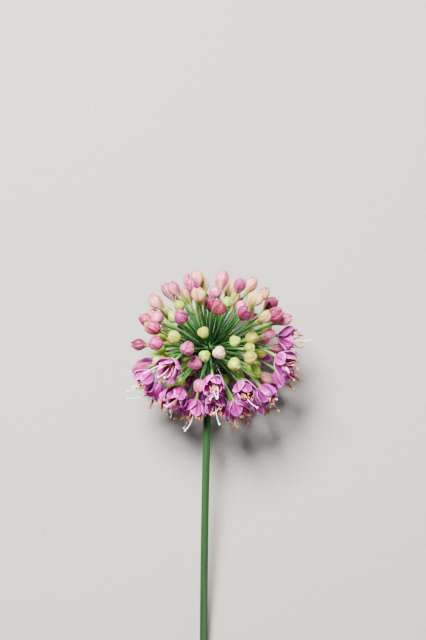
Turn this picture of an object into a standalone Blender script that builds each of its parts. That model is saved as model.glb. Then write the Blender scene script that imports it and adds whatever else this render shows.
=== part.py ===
"""Allium flower head: a cut stalk with its round umbel, part in bud and part open, lying on a surface.

The flower is modelled growing upright, with its receptacle at the origin of its own frame, and is then
laid down by the empty that carries every piece: it rests on its lowest florets and on the stalk's cut end.

Run with: blender --background --python part.py
"""

import math
import random
from dataclasses import dataclass

import bmesh
import bpy
import numpy as np
from mathutils import Matrix, Vector

MM = 0.001  # Blender works in metres

# How the flower lies: the receptacle stands over the surface, and the stalk slopes down to its cut end.
HUB_HEIGHT = 21.0 * MM
STALK_LENGTH = 100.0 * MM  # receptacle's centre to the cut end
STALK_HALF_WIDTH = 1.15 * MM
STALK_HALF_DEPTH = 0.95 * MM  # the stalk is slightly two-edged, flatter from front to back
STALK_BOW = 1.7 * MM  # how far it bends to -X on the way down
STALK_TAPER = 0.06  # share of its width that it loses on the way up
STALK_SIDES, STALK_STEPS = 12, 6
REST_SINK = 0.3 * MM  # how deep a resting bud or the cut end is pressed flat by the surface
PETAL_SINK = 0.12 * MM  # the same for an open floret
TILT = math.asin((HUB_HEIGHT + REST_SINK) / math.hypot(STALK_LENGTH, STALK_HALF_DEPTH)) - math.atan(
    STALK_HALF_DEPTH / STALK_LENGTH
)
SEAT_GAP = 0.3 * MM  # between two pieces that meet face to face

# Receptacle: the knob on the stalk that all pedicels grow from, as distance from the axis and height.
RECEPTACLE_PROFILE = (
    (0.0, 2.7),
    (1.5, 2.3),
    (2.5, 1.2),
    (2.8, -0.1),
    (2.3, -1.5),
    (1.35, -2.4),
    (1.05, -3.9),
    (0.0, -3.9),
)
RECEPTACLE_SIDES = 12
NECK_FOOT = 3.9 * MM  # its flat underside, where the stalk ends

# Pedicels: the floret stalks.
PEDICEL_RADIUS = 0.4 * MM
PEDICEL_ROOT = 1.6 * MM  # their roots start this near the receptacle's centre
PEDICEL_KNEE = 0.45  # share of its length over which a pedicel bends into its floret's axis
BUD_SOCKET = 0.5 * MM  # how deep a pedicel enters a green bud
# Shares of the way and the thickness there: the last stretch flares, and a nodding pedicel has a bend more.
STRAIGHT_PEDICEL = ((0.0, 0.8), (0.9, 1.0), (1.0, 1.5))
NODDING_PEDICEL = ((0.0, 0.8), (0.5, 0.9), (0.9, 1.0), (1.0, 1.5))

# How many florets the umbel carries at each stage, and the room each stage takes, as an angle.
COUNTS = {"open": 28, "pink": 16, "pale": 14, "green": 42}
ROOM = {"open": 0.24, "pink": 0.125, "pale": 0.12, "green": 0.1}
LOWEST = math.radians(156)  # no floret grows nearer to the stalk than this, counted from the top
GOLDEN_ANGLE = math.pi * (3 - math.sqrt(5))
WANDER = math.radians(7)  # how far a floret strays from the even spiral
LEAST_ROOM = 0.17  # room that each floret takes before its stage is known
SEED = 53

# What ripens a floret, in degrees from the top: growing at +X, growing away from -Y or +Y, and chance.
RIPER_AT_X, RIPER_OFF_FRONT, RIPER_OFF_BACK, RIPER_BY_CHANCE = 8, 26, 14, 6
GREEN_AT_TOP = 0.25  # how much less often a floret at the top is green
PALE_MIXING = 0.5  # how far pale and pink buds mix with height

# Distance from the receptacle's centre to a floret's base.
REACH = 17.2 * MM
REACH_SIDEWAYS, REACH_AT_X, REACH_LOST_BELOW = 2.4 * MM, 1.3 * MM, 3.6 * MM
BELOW = 0.35  # florets further down than this share of the sphere are the ones below
REACH_BY_CHANCE = 0.6 * MM
GREEN_REACH = (0.66, 0.9)  # a young pedicel's share of the full reach
GREEN_REACH_AT_TOP = 0.1  # how much longer it is at the top of the umbel
LEAN_BY_CHANCE = 0.05
OPEN_NOD = 0.42  # how far open florets at the sides bend down

# Closed buds: length and width of each size, in metres.
BUD_SIZES = {
    "pink": ((5.2 * MM, 4.1 * MM), (4.7 * MM, 3.7 * MM), (5.6 * MM, 4.2 * MM)),
    "pale": ((5.8 * MM, 3.9 * MM), (5.2 * MM, 3.4 * MM), (6.2 * MM, 4.1 * MM)),
    "green": ((4.3 * MM, 3.8 * MM), (3.7 * MM, 3.3 * MM), (4.8 * MM, 3.9 * MM)),
}
BUD_FOOT = 0.6 * MM  # radius of the flat base that sits on the pedicel
BUD_CELLS = {"pink": (9, 5), "pale": (9, 5), "green": (8, 4)}  # sides and rings
BUD_LOBES = 0.06  # three outer tepals show as three low ridges
BUD_BLUNTNESS = 0.72
BUD_BELLY = {"pink": 1.05, "pale": 1.25, "green": 1.05}  # above 1 the widest place moves up

# Open florets. Each form is the angle from the axis of its outer tepals at the base and at the tip, then of
# its inner tepals, then of its stamens, in degrees, and its stamens' length in mm.
OPEN_FORMS = ((68, 4, 50, 4, 14, 7.4), (66, 20, 48, 12, 17, 8.6), (66, -10, 48, -6, 5, 6.2))
OUTER_ROOT, INNER_ROOT = 0.9 * MM, 0.42 * MM  # where the tepals of each whorl leave the axis
OPEN_HEAD = (9.0 * MM, 7.8 * MM)  # length and width that the surface feels
TEPAL_LENGTH = 6.0 * MM
TEPAL_OUTLINE = ((0.0, 0.0), (0.5, 3.4), (0.84, 2.9), (1.0, 0.0))  # share of the length, width in mm
TEPAL_THICKNESS = 0.6 * MM
TEPAL_ARCH = 0.35 * MM  # how far its edges curl in towards the axis
TEPAL_SEAT = 0.33 * MM  # height above the floret's base at which tepals leave the axis
OVARY_WIDTH, OVARY_LENGTH = 2.3 * MM, 2.2 * MM
OVARY_SIDES, OVARY_RINGS = 6, 4
STAMEN_SEAT = 0.42 * MM  # distance from the axis at which a stamen starts
NEEDLE_SEAT = 1.0 * MM  # height at which stamens and style start, inside the ovary
STAMEN_RADII = (0.26 * MM, 0.42 * MM)  # at its root and at its anther
STYLE_LENGTH = 9.0 * MM
STYLE_RADII = (0.3 * MM, 0.3 * MM)
STYLE_TURN = 0.5

COLOURS = {
    "stalk": "#55884A",
    "umbel": "#5C9A55",
    "open": "#D07CC4",
    "pink": "#CE6F9C",
    "pale": "#E6C3B4",
}


@dataclass(frozen=True)
class Place:
    """Where one floret grows, in the flower's own frame: its pedicel leaves the receptacle along way."""

    stage: str
    form: int
    way: Vector
    base: Vector
    axis: Vector
    roll: float


# ---------------------------------------------------------------- the rule that places the florets


def pushed_apart(ways, room, rounds=12):
    """The directions moved over the sphere until each has its own room, none of them near the stalk."""
    need = room[:, None] + room[None, :]
    np.fill_diagonal(need, 0)
    for _ in range(rounds):
        between = ways[:, None] - ways[None, :]
        distance = np.linalg.norm(between, axis=2)
        np.fill_diagonal(distance, 1)
        push = np.clip(need - distance, 0, None) / distance
        ways = ways + 0.5 * (between * push[:, :, None]).sum(1)
        ways /= np.linalg.norm(ways, axis=1)[:, None]
        low = ways[:, 2] < math.cos(LOWEST)
        flat = np.maximum(np.linalg.norm(ways[low, :2], axis=1), 1e-6)
        ways[low, :2] *= (math.sin(LOWEST) / flat)[:, None]
        ways[low, 2] = math.cos(LOWEST)
    return ways


def scattered_ways(draw, count):
    """An even spiral of directions over the sphere, all but the stalk's cone, with a little disorder."""
    phase = draw.uniform(0, 2 * math.pi)
    ways = []
    for i in range(count):
        height = 1 - (1 - math.cos(LOWEST)) * (i + 0.5) / count
        polar = math.acos(height)
        turn = i * GOLDEN_ANGLE + phase
        turn_wander = WANDER / max(math.sin(polar), 0.3)
        polar = min(max(polar + draw.uniform(-WANDER, WANDER), 0.02), LOWEST)
        turn += draw.uniform(-turn_wander, turn_wander)
        ways.append((math.sin(polar) * math.cos(turn), math.sin(polar) * math.sin(turn), math.cos(polar)))
    return pushed_apart(np.array(ways), np.full(count, LEAST_ROOM))


def stages_of(draw, ways):
    """Florets open from the stalk upwards, at the sides before front and back; pale buds crown the top."""
    count = len(ways)
    polar = np.degrees(np.arccos(np.clip(ways[:, 2], -1, 1)))
    ripeness = polar + RIPER_AT_X * ways[:, 0]
    ripeness += RIPER_OFF_FRONT * np.minimum(ways[:, 1], 0) - RIPER_OFF_BACK * np.maximum(ways[:, 1], 0)
    ripeness += np.array([draw.gauss(0, RIPER_BY_CHANCE) for _ in range(count)])
    ripest_first = list(np.argsort(-ripeness))
    stages = [None] * count
    for i in ripest_first[: COUNTS["open"]]:
        stages[i] = "open"
    closed = ripest_first[COUNTS["open"] :]
    closed.sort(key=lambda i: draw.random() + GREEN_AT_TOP * ways[i, 2])
    for i in closed[: COUNTS["green"]]:
        stages[i] = "green"
    coloured = [i for i in closed if stages[i] is None]
    coloured.sort(key=lambda i: -(ways[i, 2] + draw.uniform(-PALE_MIXING, PALE_MIXING)))
    for rank, i in enumerate(coloured):
        stages[i] = "pale" if rank < COUNTS["pale"] else "pink"
    return stages


def reach_of(draw, stage, way):
    """Distance from the receptacle's centre to the floret: a little flat, fuller at +X, short when young."""
    low = max(0.0, -way.z - BELOW)
    sideways = math.hypot(way.x, way.y)
    reach = REACH + REACH_SIDEWAYS * sideways + REACH_AT_X * way.x - REACH_LOST_BELOW * low
    reach += draw.uniform(-REACH_BY_CHANCE, REACH_BY_CHANCE)
    if stage == "green":
        reach *= draw.uniform(*GREEN_REACH) + GREEN_REACH_AT_TOP * max(0.0, way.z)
    return reach


def axis_of(draw, stage, way):
    """Open florets nod towards the stalk; buds look straight out, give or take a few degrees."""
    axis = way + Vector([draw.gauss(0, LEAN_BY_CHANCE) for _ in range(3)])
    if stage == "open":
        axis.z -= OPEN_NOD * math.hypot(way.x, way.y)
    return axis.normalized()


def above_surface(point):
    """Height of a point of the flower's own frame once the flower lies down."""
    return HUB_HEIGHT - point.y * math.cos(TILT) + point.z * math.sin(TILT)


def head_size(stage, form):
    """Length and width of a floret's head, without its stamens."""
    return OPEN_HEAD if stage == "open" else BUD_SIZES[stage][form]


def rested(stage, form, way, axis, reach):
    """The reach, shortened so that the floret's head presses into the surface this little and no more."""
    length, width = head_size(stage, form)
    base = way * reach
    up = axis.z * math.sin(TILT) - axis.y * math.cos(TILT)
    half = math.hypot(up * length / 2, math.sqrt(1 - up * up) * width / 2)
    lowest = above_surface(base + axis * (length / 2)) - half
    least = -PETAL_SINK if stage == "open" else -REST_SINK
    sinking = way.y * math.cos(TILT) - way.z * math.sin(TILT)
    if lowest < least and sinking > 0.3:
        reach -= (least - lowest) / sinking
    return reach


def places():
    """Every floret's place, by a seeded draw."""
    draw = random.Random(SEED)
    ways = scattered_ways(draw, sum(COUNTS.values()))
    stages = stages_of(draw, ways)
    ways = pushed_apart(ways, np.array([ROOM[stage] for stage in stages]), rounds=24)
    found = []
    for stage, direction in zip(stages, ways):
        way = Vector(direction)
        form = draw.randrange(3)
        reach = reach_of(draw, stage, way)
        axis = axis_of(draw, stage, way)
        roll = draw.uniform(0, 2 * math.pi)
        reach = rested(stage, form, way, axis, reach)
        found.append(Place(stage, form, way, way * reach, axis, roll))
    return found


# ---------------------------------------------------------------- modelling helpers


def clear_scene():
    for obj in list(bpy.data.objects):
        bpy.data.objects.remove(obj)


def linear(channel):
    return channel / 12.92 if channel <= 0.04045 else ((channel + 0.055) / 1.055) ** 2.4


def finish(name, roughness):
    """A Principled material of the piece's colour."""
    made = bpy.data.materials.new(name)
    made.use_nodes = True
    shader = made.node_tree.nodes["Principled BSDF"]
    rgb = [linear(int(COLOURS[name][i : i + 2], 16) / 255) for i in (1, 3, 5)]
    shader.inputs["Base Color"].default_value = (*rgb, 1)
    shader.inputs["Roughness"].default_value = roughness
    shader.inputs["Metallic"].default_value = 0
    return made


def collection(name):
    made = bpy.data.collections.new(name)
    bpy.context.scene.collection.children.link(made)
    return made


def mesh_object(name, bm, home):
    """The bmesh as an object of the collection."""
    mesh = bpy.data.meshes.new(name)
    bm.to_mesh(mesh)
    bm.free()
    made = bpy.data.objects.new(name, mesh)
    home.objects.link(made)
    return made


def baked_mesh(obj, name):
    """The object's evaluated shape, its modifiers and caps made real, in its own coordinates."""
    bpy.context.view_layer.update()
    graph = bpy.context.evaluated_depsgraph_get()
    mesh = bpy.data.meshes.new_from_object(obj.evaluated_get(graph))
    mesh.name = name
    bm = bmesh.new()
    bm.from_mesh(mesh)
    bmesh.ops.remove_doubles(bm, verts=bm.verts, dist=0.001 * MM)
    bm.to_mesh(mesh)
    bm.free()
    return mesh


def made_mesh(obj, home):
    """A curve or a modified object turned into a plain mesh object at the same place."""
    mesh = baked_mesh(obj, obj.name)
    matrix = obj.matrix_world.copy()
    name = obj.name
    bpy.data.objects.remove(obj)
    made = bpy.data.objects.new(name, mesh)
    made.matrix_world = matrix
    home.objects.link(made)
    return made


def joined(core, repeats):
    """The core and every object of the collection as one closed body; the collection is then removed."""
    union = core.modifiers.new("join", "BOOLEAN")
    union.operation = "UNION"
    union.operand_type = "COLLECTION"
    union.collection = repeats
    union.solver = "MANIFOLD"
    mesh = baked_mesh(core, core.name)
    core.modifiers.clear()
    core.data = mesh
    for obj in list(repeats.objects):
        bpy.data.objects.remove(obj)
    bpy.data.collections.remove(repeats)
    return core


def upright(axis, roll):
    """The rotation that stands local +Z along the axis, turned by roll about it."""
    return axis.to_track_quat("Z", "Y").to_matrix().to_4x4() @ Matrix.Rotation(roll, 4, "Z")


def smooth(obj, degrees=50):
    obj.data.shade_smooth()
    obj.data.set_sharp_from_angle(angle=math.radians(degrees))


# ---------------------------------------------------------------- buds


def swell(share, width, belly=1.0, bluntness=1.0):
    """Radius at a share of the length: a narrow foot, a belly and a tip."""
    foot = BUD_FOOT * (1 - share)
    return math.hypot(foot, width / 2 * math.sin(math.pi * share**belly) ** bluntness)


def ovoid_bmesh(size, sides, rings, lobes=0.0, **shape):
    """An ovoid of this length and width with three ridges, standing on the origin on a small flat foot."""
    length, width = size
    first_ring = (1 - math.cos(math.pi / rings)) / 2
    bm = bmesh.new()
    bmesh.ops.create_uvsphere(bm, u_segments=sides, v_segments=rings, radius=1)
    for vert in bm.verts:
        share = (1 + vert.co.z) / 2
        turn = math.atan2(vert.co.y, vert.co.x)
        on_axis = math.hypot(vert.co.x, vert.co.y) < 1e-4
        if share < first_ring + 1e-4:
            share = 0.0
        radius = 0.0 if on_axis else swell(share, width, **shape)
        radius *= 1 + lobes * math.cos(3 * turn)
        vert.co = (radius * math.cos(turn), radius * math.sin(turn), share * length)
    return bm


def bud_bmesh(stage, form):
    """A closed bud: its three outer tepals show as ridges."""
    shape = {"belly": BUD_BELLY[stage], "bluntness": BUD_BLUNTNESS}
    return ovoid_bmesh(BUD_SIZES[stage][form], *BUD_CELLS[stage], BUD_LOBES, **shape)


# ---------------------------------------------------------------- open florets


def tepal_point(share, opening, root):
    """Distance from the axis and height of a tepal's midrib, on a curve that closes as it rises."""
    start, end = (math.radians(a) for a in opening)
    bend = end - start
    here = start + bend * share
    out = (math.cos(start) - math.cos(here)) / bend
    up = (math.sin(here) - math.sin(start)) / bend
    return root + TEPAL_LENGTH * out, TEPAL_SEAT + TEPAL_LENGTH * up, here


def add_tepal(name, opening, root, turn, home):
    """One tepal: a bent, arched sheet with thickness, turned about the axis."""
    bm = bmesh.new()
    cells = len(TEPAL_OUTLINE) - 1
    bmesh.ops.create_grid(bm, x_segments=2, y_segments=cells, size=1)
    for vert in bm.verts:
        across = vert.co.x
        share, width = TEPAL_OUTLINE[round((vert.co.y + 1) / 2 * cells)]
        out, up, lean = tepal_point(share, opening, root)
        inward = TEPAL_ARCH * across * across if width else 0.0
        vert.co.x = out - inward * math.cos(lean)
        vert.co.y = across * width * MM / 2
        vert.co.z = up + inward * math.sin(lean)
    bmesh.ops.remove_doubles(bm, verts=bm.verts, dist=0.01 * MM)
    bmesh.ops.triangulate(bm, faces=bm.faces)
    bmesh.ops.rotate(bm, verts=bm.verts, matrix=Matrix.Rotation(turn, 3, "Z"))
    sheet = mesh_object(name, bm, home)
    wall = sheet.modifiers.new("wall", "SOLIDIFY")
    wall.thickness = TEPAL_THICKNESS
    wall.offset = 0
    return made_mesh(sheet, home)


def add_needle(name, length, lean, turn, radii, home):
    """A stamen or the style: a three-sided rod from inside the ovary, leaning out."""
    bm = bmesh.new()
    bmesh.ops.create_cone(bm, cap_ends=True, segments=3, radius1=radii[0], radius2=radii[1], depth=length)
    matrix = (
        Matrix.Rotation(turn, 4, "Z")
        @ Matrix.Translation((STAMEN_SEAT if lean else 0, 0, NEEDLE_SEAT))
        @ Matrix.Rotation(lean, 4, "Y")
        @ Matrix.Translation((0, 0, length / 2))
    )
    bmesh.ops.transform(bm, verts=bm.verts, matrix=matrix)
    return mesh_object(name, bm, home)


def open_floret_mesh(form):
    """An open floret standing on the origin: ovary, two whorls of three tepals, stamens and a style."""
    work = collection(f"open_form_{form}")
    repeats = collection(f"open_form_{form}_repeats")
    bm = ovoid_bmesh((OVARY_LENGTH, OVARY_WIDTH), OVARY_SIDES, OVARY_RINGS)
    ovary = mesh_object("ovary", bm, work)
    *openings, stamen_angle, stamen_length = OPEN_FORMS[form]
    length, lean = stamen_length * MM, math.radians(stamen_angle)
    for i in range(6):
        turn = math.radians(60 * i)
        opening, root = (openings[2:], INNER_ROOT) if i % 2 else (openings[:2], OUTER_ROOT)
        add_tepal(f"tepal_{i}", opening, root, turn, repeats)
        if i % 2:
            add_needle(f"stamen_{i}", length, lean, turn, STAMEN_RADII, repeats)
    add_needle("style", STYLE_LENGTH, 0, STYLE_TURN, STYLE_RADII, repeats)
    mesh = joined(ovary, repeats).data
    bpy.data.objects.remove(ovary)
    bpy.data.collections.remove(work)
    return mesh


# ---------------------------------------------------------------- stalk and umbel


def pedicel_line(place, shares):
    """Points from the receptacle to just under the floret, bending into the floret's axis."""
    short = -BUD_SOCKET if place.stage == "green" else SEAT_GAP
    start = place.way * PEDICEL_ROOT
    end = place.base - place.axis * short
    knee = place.base - place.axis * (PEDICEL_KNEE * place.base.length)
    return [start * (1 - t) ** 2 + knee * (2 * t * (1 - t)) + end * t**2 for t in shares]


def add_pedicel(name, place, home):
    curve = bpy.data.curves.new(name, "CURVE")
    curve.dimensions = "3D"
    curve.bevel_depth = PEDICEL_RADIUS
    curve.bevel_resolution = 0
    curve.use_fill_caps = True
    spline = curve.splines.new("POLY")
    shares, thickness = zip(*(NODDING_PEDICEL if place.stage == "open" else STRAIGHT_PEDICEL))
    spline.points.add(len(shares) - 1)
    for point, where, thick in zip(spline.points, pedicel_line(place, shares), thickness):
        point.co = (*where, 1)
        point.radius = thick
    obj = bpy.data.objects.new(name, curve)
    home.objects.link(obj)
    return made_mesh(obj, home)


def add_receptacle(home):
    """The knob: its profile turned about the axis."""
    bm = bmesh.new()
    line = [bm.verts.new((radius * MM, 0, height * MM)) for radius, height in RECEPTACLE_PROFILE]
    for low, high in zip(line, line[1:]):
        bm.edges.new((low, high))
    profile = mesh_object("umbel", bm, home)
    turned = profile.modifiers.new("turned", "SCREW")
    turned.steps = turned.render_steps = RECEPTACLE_SIDES
    turned.use_merge_vertices = True
    turned.merge_threshold = 0.01 * MM
    turned.use_normal_calculate = True
    return made_mesh(profile, home)


def add_umbel(florets, home):
    """The receptacle with every pedicel and the youngest, green buds grown onto it."""
    umbel = add_receptacle(home)
    repeats = collection("umbel_repeats")
    for i, place in enumerate(florets):
        add_pedicel(f"pedicel_{i}", place, repeats)
        if place.stage == "green":
            bud = mesh_object(f"green_bud_{i}", bud_bmesh("green", place.form), repeats)
            bud.matrix_world = Matrix.Translation(place.base) @ upright(place.axis, place.roll)
    return joined(umbel, repeats)


def add_stalk(home):
    """The stalk: a slightly two-edged, gently bowed rod from its cut end to the receptacle."""
    section = bpy.data.curves.new("stalk_section", "CURVE")
    section.dimensions = "2D"
    outline = section.splines.new("POLY")
    outline.points.add(STALK_SIDES - 1)
    for i, point in enumerate(outline.points):
        turn = 2 * math.pi * i / STALK_SIDES
        point.co = (STALK_HALF_WIDTH * math.cos(turn), STALK_HALF_DEPTH * math.sin(turn), 0, 1)
    outline.use_cyclic_u = True
    guide = bpy.data.objects.new("stalk_section", section)
    home.objects.link(guide)

    curve = bpy.data.curves.new("stalk", "CURVE")
    curve.dimensions = "3D"
    curve.bevel_mode = "OBJECT"
    curve.bevel_object = guide
    curve.use_fill_caps = True
    curve.twist_mode = "Z_UP"
    spline = curve.splines.new("POLY")
    spline.points.add(STALK_STEPS)
    top = -(NECK_FOOT + SEAT_GAP)
    for i, point in enumerate(spline.points):
        height = -STALK_LENGTH + (top + STALK_LENGTH) * i / STALK_STEPS
        down = -height / STALK_LENGTH
        point.co = (-STALK_BOW * down * (2 - down), 0, height, 1)
        point.radius = 1 - STALK_TAPER * i / STALK_STEPS
    obj = bpy.data.objects.new("stalk", curve)
    home.objects.link(obj)
    made = made_mesh(obj, home)
    bpy.data.objects.remove(guide)
    return made


# ---------------------------------------------------------------- laying it down


def trim_at_surface(obj):
    """Cuts off what would sink into the surface, leaving a small flat spot to rest on."""
    matrix = obj.matrix_world
    if min((matrix @ vert.co).z for vert in obj.data.vertices) > -1e-6:
        return
    obj.data = obj.data.copy()
    bm = bmesh.new()
    bm.from_mesh(obj.data)
    inverse = matrix.inverted()
    normal = (inverse.to_3x3() @ Vector((0, 0, 1))).normalized()
    parts = bm.verts[:] + bm.edges[:] + bm.faces[:]
    bmesh.ops.bisect_plane(bm, geom=parts, plane_co=inverse @ Vector(), plane_no=normal, clear_inner=True)
    open_edges = [edge for edge in bm.edges if edge.is_boundary]
    bmesh.ops.holes_fill(bm, edges=open_edges)
    bmesh.ops.recalc_face_normals(bm, faces=bm.faces)
    bm.to_mesh(obj.data)
    bm.free()


def centre_on_origin(carrier, pieces):
    """Moves the carrier so that the middle of the flower's footprint lies on the origin."""
    corners = [obj.matrix_world @ vert.co for obj in pieces for vert in obj.data.vertices]
    for axis in (0, 1):
        values = [corner[axis] for corner in corners]
        carrier.location[axis] -= (min(values) + max(values)) / 2


def main():
    clear_scene()
    home = collection("allium_flower_head")
    florets = places()
    finishes = {name: finish(name, 0.45) for name in COLOURS}

    carrier = bpy.data.objects.new("laid_flower", None)
    home.objects.link(carrier)
    carrier.rotation_euler.x = TILT - math.pi / 2
    carrier.location.z = HUB_HEIGHT

    pieces = [add_stalk(home), add_umbel(florets, home)]
    for piece in pieces:
        piece.data.materials.append(finishes[piece.name])

    meshes = {("open", form): open_floret_mesh(form) for form in range(len(OPEN_FORMS))}
    for stage in ("pink", "pale"):
        for form in range(len(BUD_SIZES[stage])):
            mesh = bpy.data.meshes.new(f"{stage}_bud")
            bm = bud_bmesh(stage, form)
            bm.to_mesh(mesh)
            bm.free()
            meshes[stage, form] = mesh
    for (stage, _), mesh in meshes.items():
        mesh.materials.clear()
        mesh.materials.append(finishes[stage])

    kinds = {"open": "open_floret", "pink": "pink_bud", "pale": "pale_bud"}
    for stage, kind in kinds.items():
        of_stage = [place for place in florets if place.stage == stage]
        for number, place in enumerate(of_stage, 1):
            piece = bpy.data.objects.new(f"{kind}_{number:02d}", meshes[stage, place.form])
            home.objects.link(piece)
            piece.matrix_world = Matrix.Translation(place.base) @ upright(place.axis, place.roll)
            pieces.append(piece)

    for piece in pieces:
        piece.parent = carrier
    bpy.context.view_layer.update()
    for piece in pieces:
        trim_at_surface(piece)
        smooth(piece)
    centre_on_origin(carrier, pieces)


main()
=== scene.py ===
"""The allium flower head, dressed: petals, stamens, buds and stems with their surfaces, on a pale table."""

import random
from dataclasses import dataclass
from math import acos, asin, atan, cos, exp, hypot, pi, radians, sin, sqrt

import bmesh
import bpy
import numpy as np
from mathutils import Matrix, Vector


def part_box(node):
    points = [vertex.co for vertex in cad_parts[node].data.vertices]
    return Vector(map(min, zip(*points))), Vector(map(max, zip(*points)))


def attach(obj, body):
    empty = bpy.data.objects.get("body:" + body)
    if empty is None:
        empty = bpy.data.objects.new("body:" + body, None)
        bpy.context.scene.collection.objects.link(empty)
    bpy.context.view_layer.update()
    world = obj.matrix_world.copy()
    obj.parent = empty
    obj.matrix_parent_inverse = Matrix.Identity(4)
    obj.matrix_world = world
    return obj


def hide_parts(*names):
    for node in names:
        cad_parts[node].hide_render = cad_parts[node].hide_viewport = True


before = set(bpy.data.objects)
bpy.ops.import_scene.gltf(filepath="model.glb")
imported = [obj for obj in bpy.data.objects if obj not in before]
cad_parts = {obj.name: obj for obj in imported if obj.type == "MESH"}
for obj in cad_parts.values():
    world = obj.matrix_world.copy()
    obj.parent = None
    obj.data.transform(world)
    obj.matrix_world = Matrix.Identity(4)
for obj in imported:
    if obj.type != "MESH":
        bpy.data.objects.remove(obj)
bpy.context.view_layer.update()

MM = 0.001
WELD = 0.004 * MM  # points nearer than this are one
LEAST = 0.01 * MM  # the least radius or gap
OFF_TABLE = 0.02 * MM  # the lowest points lie this little above the table
TABLE_REACH = 5.0  # metres to each side

# How the flower lies, as in its solids.
HUB_HEIGHT = 21.0 * MM
STALK_LENGTH = 100.0 * MM
STALK_HALF_WIDTH = 1.15 * MM
STALK_HALF_DEPTH = 0.95 * MM
STALK_BOW = 1.7 * MM
STALK_TAPER = 0.06  # share of its thickness that the stalk loses from foot to top
REST_SINK = 0.3 * MM
PETAL_SINK = 0.12 * MM
FACING_DOWN = 0.3  # florets that point less downwards than this aren't drawn in
TILT = asin((HUB_HEIGHT + REST_SINK) / hypot(STALK_LENGTH, STALK_HALF_DEPTH))
TILT -= atan(STALK_HALF_DEPTH / STALK_LENGTH)
NECK_FOOT = 3.9 * MM
SEAT_GAP = 0.3 * MM

# The rule that places the florets, as in the solids.
COUNTS = {"open": 28, "pink": 16, "pale": 14, "green": 42}
ROOM = {"open": 0.24, "pink": 0.125, "pale": 0.12, "green": 0.1}  # on a sphere of radius 1
LOWEST = radians(156)
GOLDEN_ANGLE = pi * (3 - sqrt(5))
WANDER = radians(7)
LEAST_ROOM = 0.17
SEED = 53
LATE_SEED, UMBEL_SEED = SEED + 9, SEED + 5
RIPER_AT_X, RIPER_OFF_FRONT, RIPER_OFF_BACK, RIPER_BY_CHANCE = 8, 26, 14, 6  # degrees
GREEN_AT_TOP = 0.25  # how much rarer green buds are there
PALE_MIXING = 0.5  # how far pale and pink buds mix
REACH = 17.2 * MM
REACH_SIDEWAYS, REACH_AT_X, REACH_LOST_BELOW = 2.4 * MM, 1.3 * MM, 3.6 * MM
BELOW = 0.35
REACH_BY_CHANCE = 0.6 * MM
GREEN_REACH = (0.66, 0.9)
GREEN_REACH_AT_TOP = 0.1
LEAN_BY_CHANCE = 0.05
OPEN_NOD = 0.42
PEDICEL_ROOT = 1.6 * MM
PEDICEL_KNEE = 0.45
BUD_SIZES = {
    "pink": ((5.2 * MM, 4.1 * MM), (4.7 * MM, 3.7 * MM), (5.6 * MM, 4.2 * MM)),
    "pale": ((5.8 * MM, 3.9 * MM), (5.2 * MM, 3.4 * MM), (6.2 * MM, 4.1 * MM)),
    "green": ((4.3 * MM, 3.8 * MM), (3.7 * MM, 3.3 * MM), (4.8 * MM, 3.9 * MM)),
}
BUD_FOOT = 0.6 * MM
BUD_BLUNTNESS = 0.72
BUD_BELLY = {"pink": 1.05, "pale": 1.25, "green": 1.05}
OPEN_HEAD = (9.0 * MM, 7.8 * MM)
# Outer and inner tepals' slopes at foot and tip, the stamens' lean (all in degrees) and length (mm).
OPEN_FORMS = (((68, 4), (50, 4), 14, 7.4), ((66, 20), (48, 12), 17, 8.6), ((66, -10), (48, -6), 5, 6.2))
TEPAL_LENGTH = 6.0 * MM

# What only the finer pieces have.
HEART_PARTS = ("filament", "old_anther", "new_anther", "old_filament", "withered", "style", "ovary")
KNOB_RADIUS, KNOB_HEIGHT, NECK_RADIUS = 2.75 * MM, 2.6 * MM, 1.05 * MM
KNOB_SHARE = 0.82  # of the receptacle's outline is its knob, and the rest its neck
STALK_RIBS, RIB_DEPTH, STALK_EDGE = 9, 0.022, 0.03  # the last two are shares of the stalk's radius
CUT_SHARE = 0.985  # of the stalk's width is inside its skin
PITH_DEPTH, PITH_SHARE = 0.25 * MM, 0.35  # how deep, and over what share of the cut, the pith shrinks
TEPAL_WIDTH = 4.1 * MM
WIDEST, CLAW_SHARE = 0.55, 0.34  # where a tepal is widest, and how wide it is at its foot
TEPAL_CURL = 3.2 * MM  # radius of the trough that each tepal is bent to
KEEL_HEIGHT, KEEL_SHARE = 0.12 * MM, 0.16  # the midrib's height, and its share of a tepal's half width
TEPAL_SEAT = 0.12 * MM
OUTER_ROOT, INNER_ROOT = 0.7 * MM, 0.36 * MM
TEPAL_THICKNESS = 0.14 * MM
TEPAL_GRID, BUD_GRID, SMALL_BUD_GRID, BALL_GRID = (12, 18), (48, 24), (36, 18), (8, 6)  # faces across, along
THREE_SIDED, THREE_SIDED_TIP = 0.035, 0.11  # how far a bud's section is from round, and what its tip adds
# Depths as shares of a bud's radius, widths as shares of a tepal's half width.
SEAM_DEPTH, SEAM_SHARE, BUD_KEEL, BUD_KEEL_SHARE = 0.085, 0.14, 0.03, 0.12
OVARY_WIDTH, OVARY_LENGTH = 2.1 * MM, 2.2 * MM
PEDICEL_RADIUS = 0.37 * MM
PEDICEL_WANDER = 0.45 * MM
FLARE, FLARE_FROM = 0.22 * MM, 0.88  # how much a pedicel widens under its floret, and where from
FILAMENT_RADIUS = 0.13 * MM
FILAMENT_ROOT = (0.5 * MM, 0.7 * MM)  # out from a floret's axis and up from its foot
TIP_OUT, TIP_UP = 0.42 * MM, 1.0 * MM  # where the reach of a stamen's tip is counted from
STYLE_RADIUS = 0.12 * MM
STYLE_TOP = 10.2 * MM
STIGMA_WIDTH = 0.66 * MM
ANTHER_LENGTH, ANTHER_WIDTH = 1.5 * MM, 0.66 * MM
FRESH_SHARE, SHED_SHARE = 0.09, 0.5  # stamens below the first are fresh, up to the second have shed
FRESH_REACH, SHED_REACH, WITHERED_REACH = (0.95, 1.12), (0.62, 0.86), (0.6, 0.78)  # shares of full length
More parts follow.
